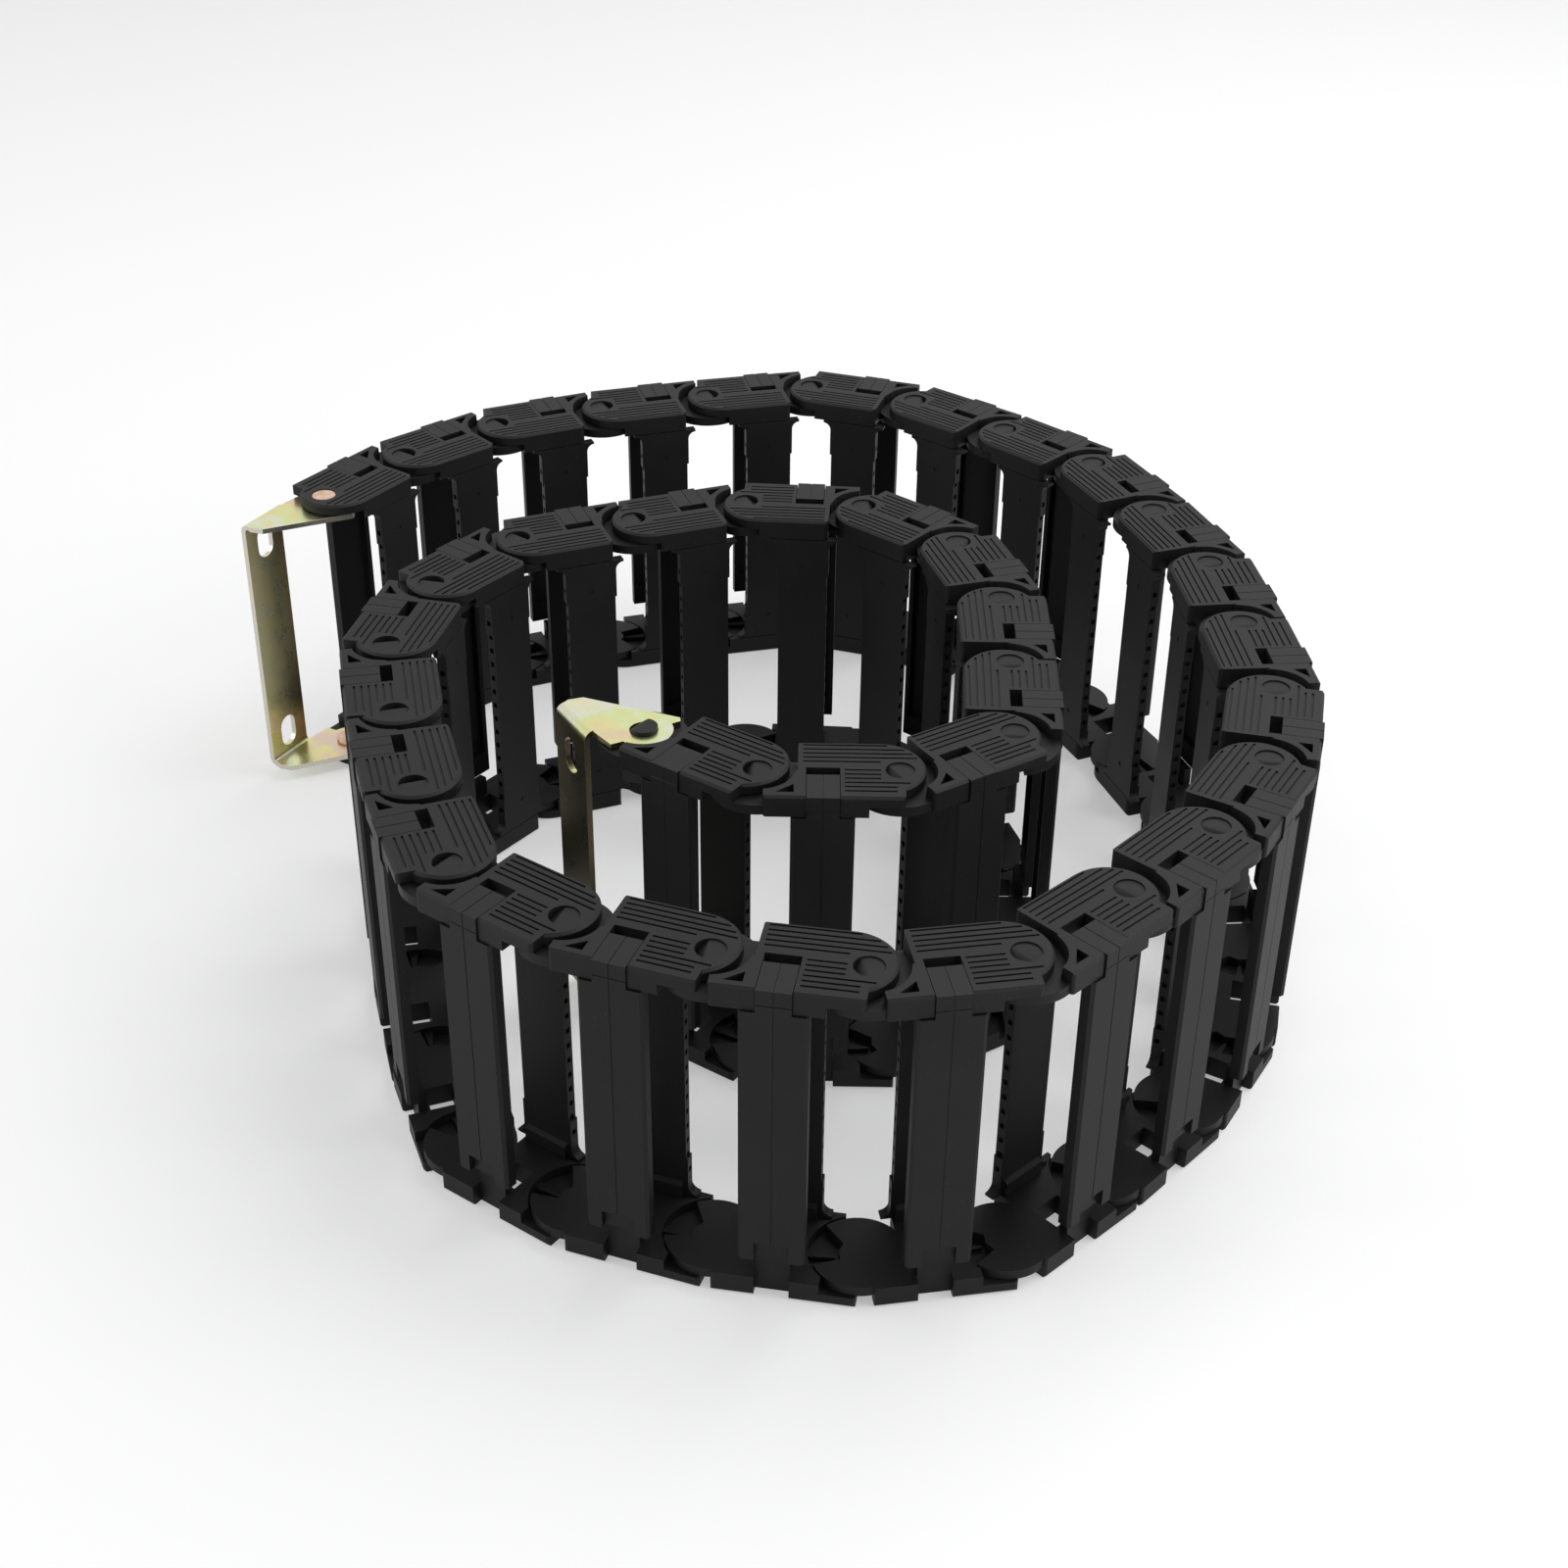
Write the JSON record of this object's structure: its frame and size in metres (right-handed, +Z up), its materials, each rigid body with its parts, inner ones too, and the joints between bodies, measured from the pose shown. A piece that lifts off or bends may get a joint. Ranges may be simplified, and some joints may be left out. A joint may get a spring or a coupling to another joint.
{
  "type": "cable drag chain",
  "caption": "Plastic energy chain of hinged ladder links, coiled on its side, with snap-in crossbars and a slotted steel mounting bracket at each end.",
  "frame": {"origin": "middle of the coil's bounding box, on the floor plane under the lower plates", "axes": "+Z up, along the hinge pins and across the chain's width; +Y along the mounting strip of the outer bracket, towards the chain; +X from the outer bracket across the coil"},
  "size_m": [0.411, 0.407, 0.117],
  "materials": {
    "black_nylon": "moulded black glass-filled nylon with a low sheen",
    "zinc_plated_steel": "yellow chromate zinc plating with a faint rainbow, bare silver cut edges",
    "coppered_rivet": "copper-washed flat rivet ends"
  },
  "bodies": {
    "link_01": {"link_01_upper_plate": "black_nylon", "link_01_lower_plate": "black_nylon", "link_01_outer_crossbar": "black_nylon", "link_01_inner_crossbar": "black_nylon"},
    "link_02": {"link_02": "black_nylon"},
    "link_03": {"link_03": "black_nylon"},
    "link_04": {"link_04": "black_nylon"},
    "link_05": {"link_05": "black_nylon"},
    "link_06": {"link_06": "black_nylon"},
    "link_07": {"link_07": "black_nylon"},
    "link_08": {"link_08": "black_nylon"},
    "link_09": {"link_09": "black_nylon"},
    "link_10": {"link_10": "black_nylon"},
    "link_11": {"link_11": "black_nylon"},
    "link_12": {"link_12": "black_nylon"},
    "link_13": {"link_13": "black_nylon"},
    "link_14": {"link_14": "black_nylon"},
    "link_15": {"link_15": "black_nylon"},
    "link_16": {"link_16": "black_nylon"},
    "link_17": {"link_17": "black_nylon"},
    "link_18": {"link_18": "black_nylon"},
    "link_19": {"link_19": "black_nylon"},
    "link_20": {"link_20": "black_nylon"},
    "link_21": {"link_21": "black_nylon"},
    "link_22": {"link_22": "black_nylon"},
    "link_23": {"link_23": "black_nylon"},
    "link_24": {"link_24": "black_nylon"},
    "link_25": {"link_25": "black_nylon"},
    "link_26": {"link_26": "black_nylon"},
    "link_27": {"link_27": "black_nylon"},
    "link_28": {"link_28": "black_nylon"},
    "link_29": {"link_29": "black_nylon"},
    "link_30": {"link_30": "black_nylon"},
    "link_31": {"link_31": "black_nylon"},
    "link_32": {"link_32": "black_nylon"},
    "link_33": {"link_33": "black_nylon"},
    "link_34": {"link_34": "black_nylon"},
    "link_35": {"link_35_upper_plate": "black_nylon", "link_35_lower_plate": "black_nylon", "link_35_outer_crossbar": "black_nylon", "link_35_inner_crossbar": "black_nylon"},
    "outer_bracket": {"outer_bracket": "zinc_plated_steel", "outer_rivets": "coppered_rivet"},
    "inner_bracket": {"inner_bracket": "zinc_plated_steel"}
  },
  "joints": [
    {"name": "outer_bracket_hinge", "type": "hinge", "parent": "outer_bracket", "child": "link_01", "pos_m": [-0.1877, -0.0054, 0.0585], "axis": [0, 0, 1], "range_deg": [-49, 6]},
    {"name": "hinge_01_02", "type": "hinge", "parent": "link_01", "child": "link_02", "pos_m": [-0.183, 0.03935, 0.0585], "axis": [0, 0, 1], "range_deg": [-7, 14]},
    {"name": "hinge_02_03", "type": "hinge", "parent": "link_02", "child": "link_03", "pos_m": [-0.16761, 0.08164, 0.0585], "axis": [0, 0, 1], "range_deg": [-5, 18]},
    {"name": "hinge_03_04", "type": "hinge", "parent": "link_03", "child": "link_04", "pos_m": [-0.1399, 0.1171, 0.0585], "axis": [0, 0, 1], "range_deg": [-3, 7]},
    {"name": "hinge_04_05", "type": "hinge", "parent": "link_04", "child": "link_05", "pos_m": [-0.10808, 0.14892, 0.0585], "axis": [0, 0, 1], "range_deg": [-2, 3]},
    {"name": "hinge_05_06", "type": "hinge", "parent": "link_05", "child": "link_06", "pos_m": [-0.07464, 0.17903, 0.0585], "axis": [0, 0, 1], "range_deg": [-2, 31]},
    {"name": "hinge_06_07", "type": "hinge", "parent": "link_06", "child": "link_07", "pos_m": [-0.03047, 0.18762, 0.0585], "axis": [0, 0, 1], "range_deg": [-2, 21]},
    {"name": "hinge_07_08", "type": "hinge", "parent": "link_07", "child": "link_08", "pos_m": [0.01385, 0.1798, 0.0585], "axis": [0, 0, 1], "range_deg": [-2, 5]},
    {"name": "hinge_08_09", "type": "hinge", "parent": "link_08", "child": "link_09", "pos_m": [0.05732, 0.16816, 0.0585], "axis": [0, 0, 1], "range_deg": [-2, 22]},
    {"name": "hinge_09_10", "type": "hinge", "parent": "link_09", "child": "link_10", "pos_m": [0.09326, 0.14108, 0.0585], "axis": [0, 0, 1], "range_deg": [-2, 5]},
    {"name": "hinge_10_11", "type": "hinge", "parent": "link_10", "child": "link_11", "pos_m": [0.1267, 0.11096, 0.0585], "axis": [0, 0, 1], "range_deg": [-2, 13]},
    {"name": "hinge_11_12", "type": "hinge", "parent": "link_11", "child": "link_12", "pos_m": [0.15251, 0.0741, 0.0585], "axis": [0, 0, 1], "range_deg": [-3, 2]},
    {"name": "hinge_12_13", "type": "hinge", "parent": "link_12", "child": "link_13", "pos_m": [0.17702, 0.03636, 0.0585], "axis": [0, 0, 1], "range_deg": [-2, 17]},
    {"name": "hinge_13_14", "type": "hinge", "parent": "link_13", "child": "link_14", "pos_m": [0.18942, -0.0069, 0.0585], "axis": [0, 0, 1], "range_deg": [-2, 18]},
    {"name": "hinge_14_15", "type": "hinge", "parent": "link_14", "child": "link_15", "pos_m": [0.18785, -0.05187, 0.0585], "axis": [0, 0, 1], "range_deg": [-2, 12]},
    {"name": "hinge_15_16", "type": "hinge", "parent": "link_15", "child": "link_16", "pos_m": [0.17696, -0.09553, 0.0585], "axis": [0, 0, 1], "range_deg": [-2, 4]},
    {"name": "hinge_16_17", "type": "hinge", "parent": "link_16", "child": "link_17", "pos_m": [0.16306, -0.13833, 0.0585], "axis": [0, 0, 1], "range_deg": [-1, 34]},
    {"name": "hinge_17_18", "type": "hinge", "parent": "link_17", "child": "link_18", "pos_m": [0.1276, -0.16603, 0.0585], "axis": [0, 0, 1], "range_deg": [-2, 19]},
    {"name": "hinge_18_19", "type": "hinge", "parent": "link_18", "child": "link_19", "pos_m": [0.08505, -0.18068, 0.0585], "axis": [0, 0, 1], "range_deg": [-2, 10]},
    {"name": "hinge_19_20", "type": "hinge", "parent": "link_19", "child": "link_20", "pos_m": [0.0406, -0.18772, 0.0585], "axis": [0, 0, 1], "range_deg": [-2, 16]},
    {"name": "hinge_20_21", "type": "hinge", "parent": "link_20", "child": "link_21", "pos_m": [-0.00406, -0.18224, 0.0585], "axis": [0, 0, 1], "range_deg": [-2, 21]},
    {"name": "hinge_21_22", "type": "hinge", "parent": "link_21", "child": "link_22", "pos_m": [-0.03802, -0.15272, 0.0585], "axis": [0, 0, 1], "range_deg": [-3, 5]},
    {"name": "hinge_22_23", "type": "hinge", "parent": "link_22", "child": "link_23", "pos_m": [-0.06928, -0.12035, 0.0585], "axis": [0, 0, 1], "range_deg": [-3, 4]},
    {"name": "hinge_23_24", "type": "hinge", "parent": "link_23", "child": "link_24", "pos_m": [-0.09821, -0.08587, 0.0585], "axis": [0, 0, 1], "range_deg": [-3, 24]},
    {"name": "hinge_24_25", "type": "hinge", "parent": "link_24", "child": "link_25", "pos_m": [-0.11061, -0.04262, 0.0585], "axis": [0, 0, 1], "range_deg": [-3, 25]},
    {"name": "hinge_25_26", "type": "hinge", "parent": "link_25", "child": "link_26", "pos_m": [-0.10357, 0.00183, 0.0585], "axis": [0, 0, 1], "range_deg": [-2, 31]},
    {"name": "hinge_26_27", "type": "hinge", "parent": "link_26", "child": "link_27", "pos_m": [-0.07465, 0.0363, 0.0585], "axis": [0, 0, 1], "range_deg": [-2, 1]},
    {"name": "hinge_27_28", "type": "hinge", "parent": "link_27", "child": "link_28", "pos_m": [-0.04512, 0.07026, 0.0585], "axis": [0, 0, 1], "range_deg": [-2, 20]},
    {"name": "hinge_28_29", "type": "hinge", "parent": "link_28", "child": "link_29", "pos_m": [-0.00434, 0.08928, 0.0585], "axis": [0, 0, 1], "range_deg": [-3, 19]},
    {"name": "hinge_29_30", "type": "hinge", "parent": "link_29", "child": "link_30", "pos_m": [0.03968, 0.07992, 0.0585], "axis": [0, 0, 1], "range_deg": [-3, 21]},
    {"name": "hinge_30_31", "type": "hinge", "parent": "link_30", "child": "link_31", "pos_m": [0.0715, 0.0481, 0.0585], "axis": [0, 0, 1], "range_deg": [-5, 17]},
    {"name": "hinge_31_32", "type": "hinge", "parent": "link_31", "child": "link_32", "pos_m": [0.09262, 0.00837, 0.0585], "axis": [0, 0, 1], "range_deg": [-7, 2]},
    {"name": "hinge_32_33", "type": "hinge", "parent": "link_32", "child": "link_33", "pos_m": [0.11235, -0.03207, 0.0585], "axis": [0, 0, 1], "range_deg": [-1, 41]},
    {"name": "hinge_33_34", "type": "hinge", "parent": "link_33", "child": "link_34", "pos_m": [0.09053, -0.07143, 0.0585], "axis": [0, 0, 1], "range_deg": [-3, 33]},
    {"name": "hinge_34_35", "type": "hinge", "parent": "link_34", "child": "link_35", "pos_m": [0.0508, -0.09256, 0.0585], "axis": [0, 0, 1], "range_deg": [-3, 34]},
    {"name": "inner_bracket_hinge", "type": "hinge", "parent": "link_35", "child": "inner_bracket", "pos_m": [0.00605, -0.08785, 0.0585], "axis": [0, 0, 1], "range_deg": [-31, 18]}
  ]
}
